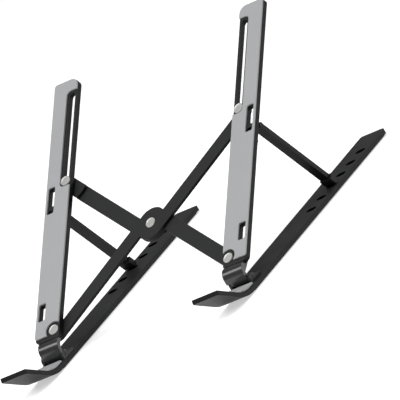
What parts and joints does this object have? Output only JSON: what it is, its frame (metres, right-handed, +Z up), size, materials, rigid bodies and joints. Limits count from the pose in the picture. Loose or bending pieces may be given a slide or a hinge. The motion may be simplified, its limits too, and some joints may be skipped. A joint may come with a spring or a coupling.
{
  "type": "laptop stand",
  "caption": "Folding X-frame laptop stand: two padded slotted rails on base bars with upturned lips, a riveted scissor and prop struts that set the slope.",
  "frame": {"origin": "on the desk, under the middle of the stand's footprint", "axes": "+Z up, -Y towards the user and the lips, +X to the user's right"},
  "size_m": [0.2106, 0.321, 0.1513],
  "materials": {
    "anodised": "black anodised satin",
    "grip_pad": "matte grey silicone",
    "sole_rubber": "matte black",
    "rivet": "satin",
    "steel": "brushed",
    "nylon": "matte",
    "foot_plastic": "matte"
  },
  "bodies": {
    "base_left": {"base_bar_left": "anodised", "base_sole_left": "sole_rubber", "lip_pad_left": "grip_pad", "hinge_mount_left": "anodised", "mount_rivet_inner_left": "rivet", "mount_rivet_outer_left": "rivet", "hinge_pin_left": "steel"},
    "rail_left": {"rail_left": "anodised", "rail_pad_left": "grip_pad", "hinge_bracket_left": "anodised", "bracket_rivet_left": "rivet", "strut_hanger_left": "anodised", "hanger_rivet_left": "rivet", "strut_pin_left": "steel", "front_rivet_left": "rivet", "front_washer_left": "nylon"},
    "strut_left": {"strut_left": "anodised", "strut_foot_left": "foot_plastic"},
    "arm_upper": {"cross_arm_upper": "anodised", "centre_rivet": "rivet", "rear_rivet_right": "rivet", "rear_bush_right": "nylon", "rear_washer_right": "nylon"},
    "arm_lower": {"cross_arm_lower": "anodised", "rear_rivet_left": "rivet", "rear_bush_left": "nylon", "rear_washer_left": "nylon"},
    "rail_right": {"rail_right": "anodised", "rail_pad_right": "grip_pad", "hinge_bracket_right": "anodised", "bracket_rivet_right": "rivet", "strut_hanger_right": "anodised", "hanger_rivet_right": "rivet", "strut_pin_right": "steel", "front_rivet_right": "rivet", "front_washer_right": "nylon"},
    "strut_right": {"strut_right": "anodised", "strut_foot_right": "foot_plastic"},
    "base_right": {"base_bar_right": "anodised", "base_sole_right": "sole_rubber", "lip_pad_right": "grip_pad", "hinge_mount_right": "anodised", "mount_rivet_inner_right": "rivet", "mount_rivet_outer_right": "rivet", "hinge_pin_right": "steel"}
  },
  "joints": [
    {"name": "tilt_left", "type": "hinge", "parent": "base_left", "child": "rail_left", "pos_m": [-0.09165, -0.10252, 0.0084], "axis": [1, 0, 0], "range_deg": [-28.2, 6.5]},
    {"name": "scissor", "type": "hinge", "parent": "rail_left", "child": "arm_upper", "pos_m": [-0.08525, -0.08839, 0.02004], "axis": [0, -0.527, 0.8499], "range_deg": [0, 47.3]},
    {"name": "scissor_cross", "type": "hinge", "parent": "arm_upper", "child": "arm_lower", "pos_m": [0, -0.02852, 0.0554], "axis": [0, -0.527, 0.8499], "range_deg": [-94.6, 0]},
    {"name": "scissor_right", "type": "hinge", "parent": "arm_lower", "child": "rail_right", "pos_m": [0.08525, -0.08839, 0.02004], "axis": [0, -0.527, 0.8499], "range_deg": [0, 47.3]},
    {"name": "tilt_right", "type": "hinge", "parent": "rail_right", "child": "base_right", "pos_m": [0.09165, -0.10252, 0.0084], "axis": [1, 0, 0], "range_deg": [-6.5, 28.2]},
    {"name": "strut_swing_left", "type": "hinge", "parent": "rail_left", "child": "strut_left", "pos_m": [-0.09165, 0.01424, 0.08356], "axis": [1, 0, 0], "range_deg": [-20.47, 88.83]},
    {"name": "strut_swing_right", "type": "hinge", "parent": "rail_right", "child": "strut_right", "pos_m": [0.09165, 0.01424, 0.08356], "axis": [1, 0, 0], "range_deg": [-20.47, 88.83]}
  ],
  "couplings": [
    {"joint": "scissor_cross", "follows": "scissor", "ratio": -2},
    {"joint": "scissor_right", "follows": "scissor", "ratio": 1},
    {"joint": "tilt_right", "follows": "tilt_left", "ratio": -1},
    {"joint": "strut_swing_left", "follows": "tilt_left", "ratio": -3.15},
    {"joint": "strut_swing_right", "follows": "tilt_left", "ratio": -3.15}
  ]
}
